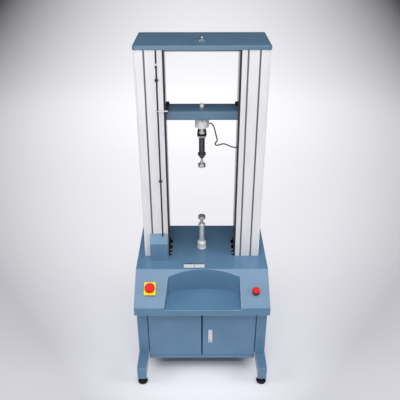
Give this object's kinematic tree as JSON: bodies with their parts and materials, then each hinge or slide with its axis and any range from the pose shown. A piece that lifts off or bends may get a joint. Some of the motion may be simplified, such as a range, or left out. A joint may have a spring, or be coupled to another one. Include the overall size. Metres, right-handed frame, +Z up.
{
  "type": "universal testing machine",
  "caption": "Floor-standing twin-column universal testing machine with a moving crosshead, load cell and compression platens over a desk-height base cabinet.",
  "frame": {"origin": "on the floor, midway between the outer faces of the legs and midway along the foot beams", "axes": "+Z up, -Y towards the operator (the front), +X to the operator's right"},
  "size_m": [0.792, 0.776, 1.99],
  "materials": {
    "blue_powder_coat": "fine orange-peel powder coat, satin",
    "column_aluminium": "extruded and clear anodised, satin, faint die lines",
    "machined_steel": "turned, bright",
    "chromed_steel": "ground and hard chromed",
    "blued_steel": "turned and blackened",
    "black_plastic": "moulded, fine texture",
    "black_rubber": "moulded, matt",
    "yellow_plastic": "moulded, semi-gloss",
    "red_plastic": "moulded, gloss",
    "zinc_steel": "zinc plated",
    "white_plastic": "moulded",
    "raw_steel": "primed plate",
    "motor_black": "stoved enamel",
    "case_grey": "powder coat"
  },
  "bodies": {
    "frame": {"foot_beams": "blue_powder_coat", "levelling_pads": "black_rubber", "levelling_studs": "zinc_steel", "leg_frames": "blue_powder_coat", "side_panels": "blue_powder_coat", "cabinet_shell": "blue_powder_coat", "cabinet_rails": "blue_powder_coat", "door_hinge_pins": "zinc_steel", "deck_housing": "blue_powder_coat", "machine_bed": "raw_steel", "bed_supports": "raw_steel", "right_column_cover": "column_aluminium", "left_column_cover": "column_aluminium", "inner_covers": "blue_powder_coat", "seal_strips": "black_plastic", "foot_angles": "blued_steel", "foot_screws": "zinc_steel", "guide_columns": "chromed_steel", "screw_bearings": "raw_steel", "cross_beam": "blue_powder_coat", "top_cover": "blue_powder_coat", "hoist_plug": "machined_steel", "drive_belt": "black_rubber", "motor_bracket": "raw_steel", "geared_motor": "motor_black", "electronics_cases": "case_grey", "lower_platen": "machined_steel", "lower_spindle": "chromed_steel", "lower_fixture_base": "machined_steel", "switch_box": "blue_powder_coat", "rod_guide": "white_plastic", "switch_bodies": "black_plastic", "main_switch_base": "yellow_plastic", "stop_collar": "black_plastic"},
    "crosshead": {"crosshead_beam": "blue_powder_coat", "lead_screw_nuts": "machined_steel", "guide_bushes": "machined_steel", "end_brackets": "black_plastic", "trip_arm": "white_plastic", "crosshead_stud": "machined_steel", "load_cell": "machined_steel", "load_cell_cable": "black_rubber", "upper_clevis": "blued_steel", "upper_lock_ring": "machined_steel", "upper_spindle": "blued_steel", "upper_platen": "machined_steel"},
    "left_screw": {"left_lead_screw": "chromed_steel", "left_screw_pulley": "machined_steel"},
    "right_screw": {"right_lead_screw": "chromed_steel", "right_screw_pulley": "machined_steel"},
    "motor_shaft": {"gearbox_shaft": "machined_steel", "motor_pulley": "machined_steel"},
    "left_door": {"left_door": "blue_powder_coat"},
    "right_door": {"right_door": "blue_powder_coat", "latch_case": "zinc_steel"},
    "latch": {"latch_lever": "zinc_steel"},
    "limit_rod": {"limit_rod": "blued_steel"},
    "main_switch": {"main_switch_knob": "red_plastic"},
    "stop_plunger": {"stop_plunger": "black_plastic"},
    "stop_head": {"stop_head": "red_plastic"}
  },
  "joints": [
    {"name": "crosshead_slide", "type": "slide", "parent": "frame", "child": "crosshead", "axis": [0, 0, 1], "range_m": [-0.32, 0.15]},
    {"name": "left_screw_spin", "type": "hinge", "parent": "frame", "child": "left_screw", "pos_m": [-0.248, 0.097, 0.6], "axis": [0, 0, 1], "continuous": true},
    {"name": "right_screw_spin", "type": "hinge", "parent": "frame", "child": "right_screw", "pos_m": [0.248, 0.097, 0.6], "axis": [0, 0, 1], "continuous": true},
    {"name": "motor_spin", "type": "hinge", "parent": "frame", "child": "motor_shaft", "pos_m": [0, 0.222, 0.58], "axis": [0, 0, 1], "continuous": true},
    {"name": "left_door_hinge", "type": "hinge", "parent": "frame", "child": "left_door", "pos_m": [-0.314, -0.251, 0.31], "axis": [0, 0, -1], "range_deg": [0, 90]},
    {"name": "right_door_hinge", "type": "hinge", "parent": "frame", "child": "right_door", "pos_m": [0.314, -0.251, 0.31], "axis": [0, 0, 1], "range_deg": [0, 90]},
    {"name": "latch_lift", "type": "hinge", "parent": "right_door", "child": "latch", "pos_m": [0.051, -0.258, 0.3205], "axis": [-1, 0, 0], "range_deg": [0, 40]},
    {"name": "limit_rod_slide", "type": "slide", "parent": "frame", "child": "limit_rod", "axis": [0, 0, 1], "range_m": [-0.004, 0.004], "stiffness_N_per_m": 3000, "springref_m": 0.0013},
    {"name": "main_switch_turn", "type": "hinge", "parent": "frame", "child": "main_switch", "pos_m": [-0.303, -0.24176, 0.62499], "axis": [0, -0.5557, 0.8314], "range_deg": [-90, 0]},
    {"name": "stop_press", "type": "slide", "parent": "frame", "child": "stop_plunger", "axis": [0, -0.5557, 0.8314], "range_m": [-0.005, 0], "stiffness_N_per_m": 500, "springref_m": 0.002},
    {"name": "stop_release_turn", "type": "hinge", "parent": "stop_plunger", "child": "stop_head", "pos_m": [0.314, -0.25381, 0.61693], "axis": [0, -0.5557, 0.8314], "range_deg": [-45, 0], "stiffness_Nm_per_rad": 0.1}
  ],
  "couplings": [
    {"joint": "left_screw_spin", "follows": "crosshead_slide", "rad_per_m": -628.32},
    {"joint": "right_screw_spin", "follows": "crosshead_slide", "rad_per_m": -628.32},
    {"joint": "motor_spin", "follows": "crosshead_slide", "rad_per_m": -1382.3}
  ]
}
